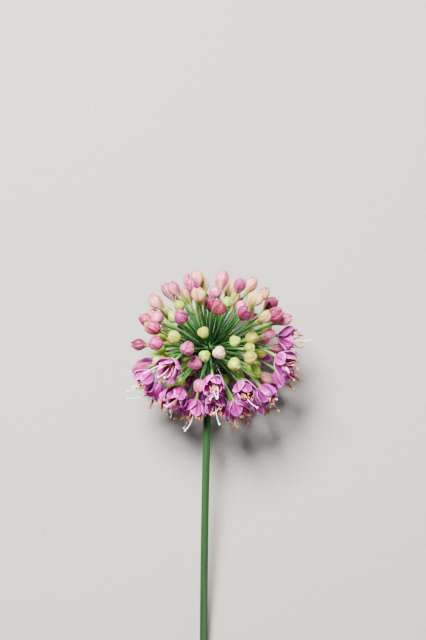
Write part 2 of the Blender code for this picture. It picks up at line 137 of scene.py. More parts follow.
WITHERED_FROM = 0.68  # share of a withered stamen's length at which its clump starts
LONG_STYLE_SHARE = 0.45
LONG_STYLE, SHORT_STYLE = (0.88, 1.0), (0.5, 0.66)  # shares of the style's full height

# Buds past what the solids hold, in the gaps between the others, mostly in the crown.
LATE_BUDS = 44
LATE_TRIES = 6000
LATE_REACH = (0.72, 1.0)  # share of a bud's usual distance from the receptacle
LATE_LOWEST, LATE_FRONTMOST = -0.75, -0.72  # no further down the sphere, or towards -Y, than this
LATE_STAGES = ("pale", "pale", "pale", "green", "green", "pink")
YOUNG_ROSE, YOUNG_CREAM = 0.14, 0.3  # shares of the young buds; cream ones are most at the top
LATE_SLIMMEST = 0.74  # share of a bud's usual width
CLEARANCE = 0.15 * MM
OPEN_CUP = (6.8 * MM, 3.1 * MM)  # length of an open floret's cup, and its radius
HUB_ROOM = 5.0 * MM  # pedicels may crowd each other this near to the receptacle's centre


@dataclass(frozen=True)
class Place:
    """Where one floret grows, in the flower's own frame: its pedicel leaves the receptacle along way."""

    stage: str
    form: int
    way: Vector
    base: Vector
    axis: Vector
    roll: float


# ---- the rule that places the florets


def pushed_apart(ways, room, rounds=12):
    """The directions moved over the sphere until each has its own room, none of them near the stalk."""
    need = room[:, None] + room[None, :]
    np.fill_diagonal(need, 0)
    for _ in range(rounds):
        between = ways[:, None] - ways[None, :]
        distance = np.linalg.norm(between, axis=2)
        np.fill_diagonal(distance, 1)
        push = np.clip(need - distance, 0, None) / distance
        ways = ways + 0.5 * (between * push[:, :, None]).sum(1)
        ways /= np.linalg.norm(ways, axis=1)[:, None]
        low = ways[:, 2] < cos(LOWEST)
        flat = np.maximum(np.linalg.norm(ways[low, :2], axis=1), 1e-6)
        ways[low, :2] *= (sin(LOWEST) / flat)[:, None]
        ways[low, 2] = cos(LOWEST)
    return ways


def scattered_ways(draw, count):
    """An even spiral of directions over the sphere, all but the stalk's cone, with a little disorder."""
    phase = draw.uniform(0, 2 * pi)
    ways = []
    for i in range(count):
        height = 1 - (1 - cos(LOWEST)) * (i + 0.5) / count
        polar = acos(height)
        turn = i * GOLDEN_ANGLE + phase
        turn_wander = WANDER / max(sin(polar), 0.3)
        polar = min(max(polar + draw.uniform(-WANDER, WANDER), 0.02), LOWEST)
        turn += draw.uniform(-turn_wander, turn_wander)
        ways.append((sin(polar) * cos(turn), sin(polar) * sin(turn), cos(polar)))
    return pushed_apart(np.array(ways), np.full(count, LEAST_ROOM))


def stages_of(draw, ways):
    """Florets open from the stalk upwards, at the sides before front and back; pale buds crown the top."""
    count = len(ways)
    polar = np.degrees(np.arccos(np.clip(ways[:, 2], -1, 1)))
    ripeness = polar + RIPER_AT_X * ways[:, 0]
    ripeness += RIPER_OFF_FRONT * np.minimum(ways[:, 1], 0) - RIPER_OFF_BACK * np.maximum(ways[:, 1], 0)
    ripeness += np.array([draw.gauss(0, RIPER_BY_CHANCE) for _ in range(count)])
    ripest_first = list(np.argsort(-ripeness))
    stages = [None] * count
    for i in ripest_first[: COUNTS["open"]]:
        stages[i] = "open"
    closed = ripest_first[COUNTS["open"] :]
    closed.sort(key=lambda i: draw.random() + GREEN_AT_TOP * ways[i, 2])
    for i in closed[: COUNTS["green"]]:
        stages[i] = "green"
    coloured = [i for i in closed if stages[i] is None]
    coloured.sort(key=lambda i: -(ways[i, 2] + draw.uniform(-PALE_MIXING, PALE_MIXING)))
    for rank, i in enumerate(coloured):
        stages[i] = "pale" if rank < COUNTS["pale"] else "pink"
    return stages


def reach_of(draw, stage, way):
    """Distance from the receptacle's centre to the floret: a little flat, fuller at +X, short when young."""
    low = max(0.0, -way.z - BELOW)
    sideways = hypot(way.x, way.y)
    reach = REACH + REACH_SIDEWAYS * sideways + REACH_AT_X * way.x - REACH_LOST_BELOW * low
    reach += draw.uniform(-REACH_BY_CHANCE, REACH_BY_CHANCE)
    if stage == "green":
        reach *= draw.uniform(*GREEN_REACH) + GREEN_REACH_AT_TOP * max(0.0, way.z)
    return reach


def axis_of(draw, stage, way):
    """Open florets nod towards the stalk; buds look straight out, give or take a few degrees."""
    axis = way + Vector([draw.gauss(0, LEAN_BY_CHANCE) for _ in range(3)])
    if stage == "open":
        axis.z -= OPEN_NOD * hypot(way.x, way.y)
    return axis.normalized()


def above_surface(point):
    """Height of a point of the flower's own frame once the flower lies down."""
    return HUB_HEIGHT - point.y * cos(TILT) + point.z * sin(TILT)


def head_size(stage, form):
    """Length and width of a floret's head, without its stamens."""
    return OPEN_HEAD if stage == "open" else BUD_SIZES[stage][form]


def rested(stage, form, way, axis, reach):
    """The reach, shortened so that the floret's head presses into the surface this little and no more."""
    length, width = head_size(stage, form)
    up = axis.z * sin(TILT) - axis.y * cos(TILT)
    half = hypot(up * length / 2, sqrt(1 - up * up) * width / 2)
    lowest = above_surface(way * reach + axis * (length / 2)) - half
    least = -PETAL_SINK if stage == "open" else -REST_SINK
    sinking = way.y * cos(TILT) - way.z * sin(TILT)
    if lowest < least and sinking > FACING_DOWN:
        reach -= (least - lowest) / sinking
    return reach


def places():
    """Every floret's place, by a seeded draw."""
    draw = random.Random(SEED)
    ways = scattered_ways(draw, sum(COUNTS.values()))
    stages = stages_of(draw, ways)
    ways = pushed_apart(ways, np.array([ROOM[stage] for stage in stages]), rounds=24)
    found = []
    for stage, direction in zip(stages, ways):
        way = Vector(direction)
        form = draw.randrange(3)
        reach = reach_of(draw, stage, way)
        axis = axis_of(draw, stage, way)
        roll = draw.uniform(0, 2 * pi)
        reach = rested(stage, form, way, axis, reach)
        found.append(Place(stage, form, way, way * reach, axis, roll))
    return found


def of_stage(stage, florets):
    """Those of the florets that are at this stage."""
    return [place for place in florets if place.stage == stage]


def strung(start, end, count=12):
    """Points along a straight line, to measure how near two lines come."""
    return [start.lerp(end, step / (count - 1)) for step in range(count)]


def head_points(place):
    """Points down the middle of a floret's head, and how far its surface is from them."""
    length, width = head_size(place.stage, place.form)
    radius = width / 2
    if place.stage == "open":
        length, radius = OPEN_CUP
    start, end = place.base + place.axis * radius, place.base + place.axis * (length - radius)
    return strung(start, end, 4), radius


def clear(points, room, others):
    """Whether a line of points with this room around it keeps off all the others."""
    spots, rooms = others
    gaps = np.linalg.norm(spots[:, None] - np.array(points)[None], axis=2) - rooms[:, None]
    return gaps.min() > room + CLEARANCE


def late_places(florets):
    """Places for the buds past what the solids hold, each clear of every head and pedicel before it."""
    draw = random.Random(LATE_SEED)
    heads, stems = [], []

    def keep(place):
        points, radius = head_points(place)
        heads.extend((point, radius) for point in points)
        stem = strung(place.way * HUB_ROOM, place.base)
        stems.extend((point, PEDICEL_RADIUS) for point in stem)

    def all_of(kept):
        return np.array([point for point, _ in kept]), np.array([room for _, room in kept])

    for place in florets:
        keep(place)
    found = []
    for _ in range(LATE_TRIES):
        way = Vector([draw.gauss(0, 1) for _ in range(3)]).normalized()
        stage, form = draw.choice(LATE_STAGES), draw.randrange(3)
        reach = reach_of(draw, stage, way) * draw.uniform(*LATE_REACH)
        axis = axis_of(draw, stage, way)
        reach = rested(stage, form, way, axis, reach)
        place = Place(stage, form, way, way * reach, axis, draw.uniform(0, 2 * pi))
        if way.z < LATE_LOWEST or way.y < LATE_FRONTMOST:
            continue
        points, radius = head_points(place)
        stem = strung(way * HUB_ROOM, place.base)
        if not clear(points, radius, all_of(heads)) or not clear(points, radius, all_of(stems)):
            continue
        if not clear(stem, PEDICEL_RADIUS, all_of(heads)):
            continue
        keep(place)
        found.append(place)
        if len(found) == LATE_BUDS:
            break
    return found


def laid_flower():
    """The flower's own frame in the world, found from where the stalk's solid lies."""
    low, high = (Vector(corner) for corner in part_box("stalk"))
    x = low.x + STALK_HALF_WIDTH + STALK_BOW
    y = high.y + (NECK_FOOT + SEAT_GAP) * cos(TILT) - STALK_HALF_DEPTH * (1 - STALK_TAPER) * sin(TILT)
    return Matrix.Translation(Vector((x, y, HUB_HEIGHT))) @ Matrix.Rotation(TILT - pi / 2, 4, "X")


# ---- colours and materials


def linear(hex_colour):
    """A #RRGGBB screen colour as linear RGBA."""
    rgb = [int(hex_colour[i : i + 2], 16) / 255 for i in (1, 3, 5)]
    return (*(c / 12.92 if c <= 0.04045 else ((c + 0.055) / 1.055) ** 2.4 for c in rgb), 1.0)


LAYERS = ("along", "across", "tint")  # what every point of a mesh carries for its material
COLOUR_A, COLOUR_B, MIXED = 6, 7, 2  # a Mix node's sockets for colours, which share their names with others
SMOOTH = {"interpolation_type": "SMOOTHSTEP"}  # for a Map Range whose two ends pass softly


def feed(socket, value):
    """Gives a socket a value, or links an output to it."""
    if isinstance(value, bpy.types.NodeSocket):
        socket.id_data.links.new(value, socket)
    else:
        socket.default_value = value


def add_node(tree, kind, inputs=None, stops=None, **settings):
    """Adds a node with its settings, its inputs' values or links, and a ramp's stops."""
    node = tree.nodes.new("ShaderNode" + kind)
    for name, value in settings.items():
        setattr(node, name, value)
    for socket, value in (inputs or {}).items():
        feed(node.inputs[socket], value)
    if stops:
        elements = node.color_ramp.elements
        while len(elements) < len(stops):
            elements.new(0.5)
        for element, (position, colour) in zip(elements, stops):
            element.position = position
            element.color = linear(colour)
    return node


def new_material(name):
    """An empty node material, its tree and its Principled shader."""
    made = bpy.data.materials.new(name)
    made.use_nodes = True
    tree = made.node_tree
    return made, tree, tree.nodes["Principled BSDF"]


def set_shader(shader, **values):
    """Gives the shader's own sockets values, or outputs to link to; names are written with underscores."""
    for name, value in values.items():
        feed(shader.inputs[name.replace("_", " ")], value)


def petal_tissue(name, base, body, tip, edge, rib, contrast=1.0, base_end=0.3, speckle=0.0):
    """Petal tissue: satin and a little translucent, paler at its edges, deeper on its midrib and veins."""
    made, tree, shader = new_material(name)
    along, across, tint = (
        add_node(tree, "Attribute", attribute_name=layer).outputs["Fac"] for layer in LAYERS
    )
    side = add_node(tree, "Math", {0: across}, operation="ABSOLUTE").outputs[0]
    place = add_node(tree, "TexCoord").outputs["Object"]

    # Blotches 1.5 mm across make the colours pass unevenly into each other from base to tip.
    blotch = add_node(tree, "TexNoise", {"Vector": place, "Scale": 0.65 / MM, "Detail": 3.0}).outputs["Fac"]
    uneven = add_node(tree, "Math", {0: blotch, 1: 0.3, 2: along}, operation="MULTIPLY_ADD").outputs[0]
    height = add_node(tree, "Math", {0: uneven, 1: 0.15}, operation="SUBTRACT").outputs[0]
    stops = ((0.0, base), (base_end / 3, base), (base_end, body), (0.72, body), (1.0, tip))
    painted = add_node(tree, "ValToRGB", {"Fac": height}, stops=stops).outputs["Color"]

    margin = add_node(tree, "MapRange", {"Value": side, "From Min": 0.6, "To Max": 0.6}, **SMOOTH).outputs[0]
    span = {"Value": side, "From Min": 0.03, "From Max": 0.3, "To Min": 0.85, "To Max": 0.0}
    midrib = add_node(tree, "MapRange", span, **SMOOTH).outputs[0]
    # Side veins lie 0.4 mm apart: a little coarser than real ones so that they show.
    stretched = add_node(tree, "CombineXYZ", {0: across, 1: along, 2: tint}).outputs[0]
    waviness = add_node(tree, "TexNoise", {"Vector": stretched, "Scale": 1.6, "Detail": 2.0}).outputs["Fac"]
    waver = add_node(tree, "Math", {0: waviness, 1: 0.25, 2: across}, operation="MULTIPLY_ADD").outputs[0]
    ripples = add_node(tree, "Math", {0: waver, 1: 32.0}, operation="MULTIPLY").outputs[0]
    veins = add_node(tree, "Math", {0: ripples}, operation="SINE").outputs[0]
    vein_shade = add_node(tree, "MapRange", {"Value": veins, "To Max": 0.16}).outputs[0]
    # Specks half a millimetre across, on buds that have weathered.
    specks = add_node(tree, "TexNoise", {"Vector": place, "Scale": 1.9 / MM, "Detail": 2.0}).outputs["Fac"]
    span = {"Value": specks, "From Min": 0.47, "From Max": 0.66, "To Max": speckle}
    worn = add_node(tree, "MapRange", span).outputs[0]
    for amount, paint in ((margin, edge), (midrib, rib), (vein_shade, rib), (worn, rib)):
        coats = {"Factor": amount, COLOUR_A: painted, COLOUR_B: linear(paint)}
        painted = add_node(tree, "Mix", coats, data_type="RGBA").outputs[MIXED]

    # Each tepal is a little lighter or darker than the next, with soft streaks of growth along it.
    dark, light = 1 - 0.35 * contrast, 1 + 0.2 * contrast
    lightness = add_node(tree, "MapRange", {"Value": tint, "To Min": dark, "To Max": light}).outputs[0]
    lengthwise = add_node(tree, "Mapping", {"Vector": stretched, "Scale": (3.6, 1.1, 30.0)}).outputs[0]
    growth = add_node(tree, "TexNoise", {"Vector": lengthwise, "Scale": 1.0, "Detail": 3.0}).outputs["Fac"]
    dark, light = 1 - 0.3 * contrast, 1 + 0.2 * contrast
    span = {"Value": growth, "From Min": 0.34, "From Max": 0.66, "To Min": dark, "To Max": light}
    streaked = add_node(tree, "MapRange", span).outputs[0]
    value = add_node(tree, "Math", {0: lightness, 1: streaked}, operation="MULTIPLY").outputs[0]
    shift = add_node(tree, "MapRange", {"Value": tint, "To Min": 0.485, "To Max": 0.51}).outputs[0]
    shades = {"Hue": shift, "Value": value, "Color": painted}
    colour = add_node(tree, "HueSaturation", shades).outputs["Color"]

    # The skin's cells are drawn 0.4 mm across, coarser than real ones, so that they break up the gloss.
    cells = add_node(tree, "TexNoise", {"Vector": place, "Scale": 2.6 / MM, "Detail": 2.0}).outputs["Fac"]
    relief = add_node(tree, "Math", {0: veins, 1: 0.3, 2: cells}, operation="MULTIPLY_ADD").outputs[0]
    bump = add_node(tree, "Bump", {"Strength": 0.35, "Distance": 0.04 * MM, "Height": relief})
    set_shader(shader, Base_Color=colour, Normal=bump.outputs["Normal"], Roughness=0.42, IOR=1.36)
    set_shader(shader, Subsurface_Weight=0.25, Subsurface_Radius=(1.0, 0.4, 0.7), Subsurface_Scale=0.5 * MM)
    set_shader(shader, Sheen_Weight=0.04)
    return made


def young_bud_skin(name, base, body, tip, seam, rib, blush):
    """Young bud: waxy, mostly green still, with paler seams, a keel on each tepal and an uneven blush."""
    made, tree, shader = new_material(name)
    along, across, tint = (
        add_node(tree, "Attribute", attribute_name=layer).outputs["Fac"] for layer in LAYERS
    )
    side = add_node(tree, "Math", {0: across}, operation="ABSOLUTE").outputs[0]
    stops = ((0.0, base), (0.3, body), (0.75, body), (1.0, tip))
    painted = add_node(tree, "ValToRGB", {"Fac": along}, stops=stops).outputs["Color"]
    edge = add_node(tree, "MapRange", {"Value": side, "From Min": 0.65, "To Max": 0.7}).outputs[0]
    span = {"Value": side, "From Max": 0.35, "To Min": 0.7, "To Max": 0.0}
    keel = add_node(tree, "MapRange", span, **SMOOTH).outputs[0]
    # Patches of blush are 2 mm across, and show on the riper buds only.
    place = add_node(tree, "TexCoord").outputs["Object"]
    blotch = add_node(tree, "TexNoise", {"Vector": place, "Scale": 0.52 / MM, "Detail": 3.0}).outputs["Fac"]
    ripe = add_node(tree, "Math", {0: tint, 1: 0.5, 2: blotch}, operation="MULTIPLY_ADD").outputs[0]
    flush = add_node(tree, "MapRange", {"Value": ripe, "From Min": 0.75, "To Max": 0.75}).outputs[0]
    for amount, paint in ((edge, seam), (keel, rib), (flush, blush)):
        coats = {"Factor": amount, COLOUR_A: painted, COLOUR_B: linear(paint)}
        painted = add_node(tree, "Mix", coats, data_type="RGBA").outputs[MIXED]
    span = {"Value": blotch, "From Min": 0.3, "From Max": 0.7, "To Min": 0.75, "To Max": 1.15}
    value = add_node(tree, "MapRange", span).outputs[0]
    colour = add_node(tree, "HueSaturation", {"Value": value, "Color": painted}).outputs["Color"]
    bump = add_node(tree, "Bump", {"Strength": 0.35, "Distance": 0.05 * MM, "Height": blotch})
    set_shader(shader, Base_Color=colour, Normal=bump.outputs["Normal"], Roughness=0.33, IOR=1.42)
    set_shader(shader, Subsurface_Weight=0.15, Subsurface_Radius=(0.7, 1.0, 0.3), Subsurface_Scale=0.4 * MM)
    return made


def stem_skin(name, stops, streak_and_highlight_colour, roughness):
    """Stem skin: smooth, waxy and a little glossy, with fine streaks along it, which on the pedicels are
    light enough to be painted highlights too.
    """
    made, tree, shader = new_material(name)
    along, across, tint = (
        add_node(tree, "Attribute", attribute_name=layer).outputs["Fac"] for layer in LAYERS
    )
    length_colour = add_node(tree, "ValToRGB", {"Fac": along}, stops=stops).outputs["Color"]
    grain = add_node(tree, "CombineXYZ", {0: across, 1: along, 2: tint}).outputs[0]
    long_grain = add_node(tree, "Mapping", {"Vector": grain, "Scale": (13.0, 2.5, 40.0)}).outputs[0]
    streak = add_node(tree, "TexNoise", {"Vector": long_grain, "Scale": 1.0, "Detail": 4.0}).outputs["Fac"]
    span = {"Value": streak, "From Min": 0.5, "From Max": 0.7, "To Max": 0.55}
    amount = add_node(tree, "MapRange", span).outputs[0]
    # On the pedicels the pale streak colour is partly a painted highlight along them, as well as their own
    # streaks.
    coats = {"Factor": amount, COLOUR_A: length_colour, COLOUR_B: linear(streak_and_highlight_colour)}
    streaked = add_node(tree, "Mix", coats, data_type="RGBA").outputs[MIXED]
    value = add_node(tree, "MapRange", {"Value": tint, "To Min": 0.72, "To Max": 1.15}).outputs[0]
    colour = add_node(tree, "HueSaturation", {"Value": value, "Color": streaked}).outputs["Color"]
    bump = add_node(tree, "Bump", {"Strength": 0.45, "Distance": 0.06 * MM, "Height": streak})
    set_shader(shader, Base_Color=colour, Normal=bump.outputs["Normal"], Roughness=roughness, IOR=1.36)
    set_shader(shader, Subsurface_Weight=0.1, Subsurface_Radius=(0.5, 1.0, 0.3), Subsurface_Scale=0.5 * MM)
    return made


def cut_stem_flesh():
    """Freshly cut stem: moist pale flesh, greener towards the rim, with a loose pith in the middle."""
    made, tree, shader = new_material("cut_stem_flesh")
    along = add_node(tree, "Attribute", attribute_name="along").outputs["Fac"]
    stops = ((0.0, "#DDE5B8"), (0.45, "#CFE0A6"), (0.8, "#A6C77E"), (1.0, "#6E9A56"))
    colour = add_node(tree, "ValToRGB", {"Fac": along}, stops=stops).outputs["Color"]
    place = add_node(tree, "TexCoord").outputs["Object"]
    pores = add_node(tree, "TexVoronoi", {"Vector": place, "Scale": 3.5 / MM}).outputs["Distance"]
    span = {"Value": pores, "From Max": 0.6, "To Min": 1.05, "To Max": 0.85}
    shade = add_node(tree, "MapRange", span).outputs[0]
    spotted = add_node(tree, "HueSaturation", {"Value": shade, "Color": colour}).outputs["Color"]
    bump = add_node(tree, "Bump", {"Strength": 0.4, "Distance": 0.05 * MM, "Height": pores})
    set_shader(shader, Base_Color=spotted, Normal=bump.outputs["Normal"], Roughness=0.3, IOR=1.38)
    set_shader(shader, Subsurface_Weight=0.2, Subsurface_Scale=0.8 * MM)
    return made


def thread_tissue(name, root, tip):
    """Filament or style: a thin moist thread, coloured where it leaves the petals and pale at its end."""
    made, tree, shader = new_material(name)
    along = add_node(tree, "Attribute", attribute_name="along").outputs["Fac"]
    stops = ((0.0, root), (0.45, tip), (1.0, tip))
    colour = add_node(tree, "ValToRGB", {"Fac": along}, stops=stops).outputs["Color"]
    set_shader(shader, Base_Color=colour, Roughness=0.35, IOR=1.4)
    set_shader(shader, Subsurface_Weight=0.3, Subsurface_Scale=0.4 * MM)
    return made


def withered_thread():
    """Withered stamen: shrivelled and matt, each at its own point between rose, orange-brown and straw."""
    made, tree, shader = new_material("withered_stamen")
    tint = add_node(tree, "Attribute", attribute_name="tint").outputs["Fac"]
    place = add_node(tree, "TexCoord").outputs["Object"]
    patches = add_node(tree, "TexNoise", {"Vector": place, "Scale": 0.9 / MM, "Detail": 3.0}).outputs["Fac"]
    spread = add_node(tree, "Math", {0: patches, 1: 0.7, 2: tint}, operation="MULTIPLY_ADD").outputs[0]
    age = add_node(tree, "Math", {0: spread, 1: 0.35}, operation="SUBTRACT").outputs[0]
    stops = ((0.0, "#9C3F4E"), (0.3, "#C9705F"), (0.55, "#B5602C"), (0.75, "#E5A570"), (1.0, "#F5DDB8"))
    colour = add_node(tree, "ValToRGB", {"Fac": age}, stops=stops).outputs["Color"]
    bump = add_node(tree, "Bump", {"Strength": 0.7, "Distance": 0.08 * MM, "Height": patches})
    set_shader(shader, Base_Color=colour, Normal=bump.outputs["Normal"], Roughness=0.6, IOR=1.4)
    set_shader(shader, Subsurface_Weight=0.15, Subsurface_Scale=0.3 * MM)
    return made


def pollen_sac(name, dark, light):
    """Anther: dry, grainy with pollen, patchy where it has shed."""
    made, tree, shader = new_material(name)
    place = add_node(tree, "TexCoord").outputs["Object"]
    grains = add_node(tree, "TexNoise", {"Vector": place, "Scale": 1.5 / MM, "Detail": 3.0}).outputs["Fac"]
    stops = ((0.35, dark), (0.62, light))
    colour = add_node(tree, "ValToRGB", {"Fac": grains}, stops=stops).outputs["Color"]
    bump = add_node(tree, "Bump", {"Strength": 0.6, "Distance": 0.08 * MM, "Height": grains})
    set_shader(shader, Base_Color=colour, Normal=bump.outputs["Normal"], Roughness=0.8, IOR=1.45)
    return made


def table_paper():
    """Matt pale card under the flower, with the faint tooth of paper."""
    made, tree, shader = new_material("matt_card")
    place = add_node(tree, "TexCoord").outputs["Object"]
    tooth = add_node(tree, "TexNoise", {"Vector": place, "Scale": 0.9 / MM, "Detail": 3.0}).outputs["Fac"]
    stops = ((0.3, "#93928E"), (0.7, "#9A9995"))
    colour = add_node(tree, "ValToRGB", {"Fac": tooth}, stops=stops).outputs["Color"]
    bump = add_node(tree, "Bump", {"Strength": 0.08, "Distance": 0.1 * MM, "Height": tooth})
    set_shader(shader, Base_Color=colour, Normal=bump.outputs["Normal"], Roughness=0.9)
    return made


# ---- mesh helpers


class Weave:
    """A mesh in the making, whose points carry how far along and across their own petal or stem they are."""

    def __init__(self, materials):
        self.bm = bmesh.new()
        self.layers = {layer: self.bm.verts.layers.float.new(layer) for layer in LAYERS}
        self.materials = list(materials)

    def surface(self, material, point, columns, rows, around=False, tint=0.5):
        """A grid of faces over point(across, along), across from -1 to 1, closed round if asked."""
        index = self.materials.index(material)
        grid = []
        for j in range(rows + 1):
            along = j / rows
            line = []
            for i in range(columns if around else columns + 1):
                across = 2 * i / columns - 1
                position, wide, far = point(across, along)
                vert = self.bm.verts.new(position)
                vert[self.layers["across"]] = wide
                vert[self.layers["along"]] = far
                vert[self.layers["tint"]] = tint
                line.append(vert)
            grid.append(line)
        for low, high in zip(grid, grid[1:]):
            for i in range(columns):
                k = (i + 1) % len(low)
                face = self.bm.faces.new((low[i], low[k], high[k], high[i]))
                face.material_index = index
                face.smooth = True
        return grid

    def tube(self, material, path, radius, sides, rows, tint=0.5):
        """A closed tube along path(t), of radius(t), both for t from 0 to 1."""
        centres = [path(j / rows) for j in range(rows + 1)]
        heading = (centres[1] - centres[0]).normalized()
        side = heading.orthogonal().normalized()
        rings = []
        for j, centre in enumerate(centres):
            ahead = centres[min(j + 1, rows)] - centres[max(j - 1, 0)]
            ahead.normalize()
            side = (side - ahead * side.dot(ahead)).normalized()
            rings.append((centre, side, ahead.cross(side)))

        def point(across, along):
            centre, right, up = rings[round(along * rows)]
            turn = pi * across
            wide = radius(along)
            return centre + (right * cos(turn) + up * sin(turn)) * wide, both_ways(across), along

        grid = self.surface(material, point, sides, rows, around=True, tint=tint)
        for ring in (grid[0][::-1], grid[-1]):
            face = self.bm.faces.new(ring)
            face.material_index = self.materials.index(material)
            face.smooth = True

    def ball(self, material, centre, axis, length, width, tint=0.5):
        """A closed ellipsoid, such as an anther or a stigma."""
        stand = axis.to_track_quat("Z", "Y").to_matrix()

        def point(across, along):
            swing = pi * along
            wide = sin(swing) * width / 2 + WELD / 4  # so small that each pole closes to one point
            turn = pi * across
            local = Vector((wide * cos(turn), wide * sin(turn), -cos(swing) * length / 2))
            return centre + stand @ local, across, along

        self.surface(material, point, *BALL_GRID, around=True, tint=tint)

    def piece(self, name, matrix, node, thickness=None):
        """The finished mesh as a piece, pressed flat where it meets the table; it may stand for a node."""
        bmesh.ops.remove_doubles(self.bm, verts=self.bm.verts, dist=WELD)
        self.bm.transform(matrix)
        bmesh.ops.recalc_face_normals(self.bm, faces=self.bm.faces)
        for vert in self.bm.verts:
            vert.co.z = max(vert.co.z, OFF_TABLE)
        mesh = bpy.data.meshes.new(name)
        self.bm.to_mesh(mesh)
        self.bm.free()
        for material in self.materials:
            mesh.materials.append(material)
        made = bpy.data.objects.new(name, mesh)
        bpy.context.scene.collection.objects.link(made)
        if thickness:
            wall = made.modifiers.new("wall", "SOLIDIFY")
            wall.thickness = thickness
            wall.offset = 0
        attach(made, "root")
        if node:
            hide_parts(node)


def both_ways(across):
    """The way round a stem counted alike on both its sides, so that its streaks meet."""
    return 2 * abs(across) - 1


def bent(start, knee, end):
    """A smooth path from start to end that leaves towards the knee."""
    return lambda t: start * (1 - t) ** 2 + knee * (2 * t * (1 - t)) + end * t**2


def upright(place):
    """From a floret's own frame, standing on the origin, to its place in the flower."""
    turned = place.axis.to_track_quat("Z", "Y").to_matrix().to_4x4()
    return Matrix.Translation(place.base) @ turned @ Matrix.Rotation(place.roll, 4, "Z")


def around_axis(turn, out, up):
    """A point this far out from the axis, and this far up along it."""
    return Vector((out * cos(turn), out * sin(turn), up))


# ---- buds


def swell(share, width, belly, bluntness=BUD_BLUNTNESS):
    """Radius at a share of the length: a narrow foot, a belly and a tip."""
    foot = BUD_FOOT * (1 - share)
    return hypot(foot, width / 2 * sin(pi * share**belly) ** bluntness)


def weave_bud(weave, material, stage, form, draw, move=None, grid=BUD_GRID, slimmest=0.93):
    """A closed bud: three outer tepals folded round each other, the edge of each standing over the next."""
    length, width = BUD_SIZES[stage][form]
    belly = BUD_BELLY[stage]
    width *= draw.uniform(slimmest, 1.02)
    twist = draw.uniform(-0.27, 0.27)
    lean = Vector((draw.uniform(-0.3, 0.3), draw.uniform(-0.3, 0.3), 0)) * MM
    lip, notch = (0.05, 0.1 * MM) if stage == "green" else (0.08, draw.uniform(0.1, 0.5) * MM)
    bluntness = BUD_BLUNTNESS + draw.uniform(-0.08, 0.08)

    def point(across, along):
        share = 0.5 - 0.5 * cos(pi * along)
        turn = pi * (across + twist * share)
        fold = (1.5 * across + 0.501) % 1.0
        petal = 2 * fold - 1
        full = sin(pi * share)
        three_sided = (THREE_SIDED + THREE_SIDED_TIP * share**3) * cos(pi * petal)
        seam = SEAM_DEPTH * exp(-(((1 - abs(petal)) / SEAM_SHARE) ** 2)) * full
        keel = BUD_KEEL * exp(-((petal / BUD_KEEL_SHARE) ** 2)) * full
        radius = swell(share, width, belly, bluntness)
        radius *= (1 + three_sided + lip * (fold - 0.5) * full) * (1 - seam) * (1 + keel)
        crest = notch * cos(pi * petal) * exp(-(((share - 0.92) / 0.08) ** 2))
        dip = (0.3 * MM + notch) * max(0.0, (share - 0.93) / 0.07) ** 2
        spot = around_axis(turn, max(radius, LEAST), share * length + crest - dip) + lean * full
        return (move @ spot if move else spot), petal, share

    weave.surface(material, point, *grid, around=True, tint=draw.random())


def dress_buds(kind, florets, flower, palette):
    """Every bud of one stage, each in one of the palette's colours."""
    for number, place in enumerate(florets, 1):
        draw = random.Random(SEED + 1000 * number + len(kind))
        skin = draw.choice(palette)
        weave = Weave([skin])
        weave_bud(weave, skin, kind, place.form, draw)
        name = f"{kind}_bud_{number:02d}"
        weave.piece(f"{name}_tepals", flower @ upright(place), name)


def dress_late_buds(kind, florets, flower, palette):
    """The coloured buds past what the solids hold, all of one stage, as one piece."""
    weave = Weave(palette)
    draw = random.Random(SEED + len(kind))
    for place in florets:
        skin = draw.choice(palette)
        weave_bud(weave, skin, kind, place.form, draw, upright(place), SMALL_BUD_GRID, LATE_SLIMMEST)
    weave.piece(f"late_{kind}_buds", flower, None)


def young_skin(place, skins, draw):
    """Most young buds are green; a few near the top have turned cream already, and some anywhere rose."""
    chance = draw.random()
    if chance < YOUNG_ROSE:
        return skins["rose_young_bud"]
    if chance < YOUNG_ROSE + YOUNG_CREAM * max(0.0, place.way.z + 0.2):
        return skins["cream_young_bud"]
    return skins["green_bud"]


# ---- open florets


def tepal_width(share):
    """Half-width of a tepal: a narrow claw, widest past its middle, a rounded tip."""
    if share < WIDEST:
        eased = share / WIDEST
        return TEPAL_WIDTH / 2 * (CLAW_SHARE + (1 - CLAW_SHARE) * eased * (2 - eased))
    return TEPAL_WIDTH / 2 * sqrt(max(0.0, 1 - ((share - WIDEST) / (1 - WIDEST)) ** 2.5))


def weave_tepal(weave, material, turn, start, end, root, draw):
    """One tepal: a trough that leaves the axis, curves up into the cup and ends in a slightly hooded tip."""
    start = radians(start + draw.uniform(-2.5, 2.5))
    bend = radians(end + draw.uniform(-4, 4)) - start
    turn += draw.uniform(-0.08, 0.08)
    slim = draw.uniform(0.9, 1.02)
    phase = draw.uniform(0, 6)
    hood = 0.25 + 0.4 * sin(5 * phase)
    lift = draw.uniform(-0.2, 0.2)
    size = TEPAL_LENGTH * draw.uniform(0.93, 1.03)

    def point(across, along):
        here = start + bend * along
        out = root + size * (cos(start) - cos(here)) / bend
        up = TEPAL_SEAT + size * (sin(here) - sin(start)) / bend
        beside = across * tepal_width(along) * slim
        trough = beside * beside / (2 * TEPAL_CURL)
        keel = KEEL_HEIGHT * exp(-((across / KEEL_SHARE) ** 2)) * sin(pi * along)
        ruffle = (0.08 + 0.2 * along) * across**3 * sin(9 * along + phase)
        waves = (ruffle + lift * across * along) * MM
        inward = trough - keel + waves + hood * MM * max(0.0, (along - 0.8) / 0.2) ** 2
        out -= inward * cos(here)
        up += inward * sin(here)
        spot = Vector((out, beside, up))
        spot.rotate(Matrix.Rotation(turn, 3, "Z"))
        return spot, across, along

    weave.surface(material, point, *TEPAL_GRID, tint=draw.random())


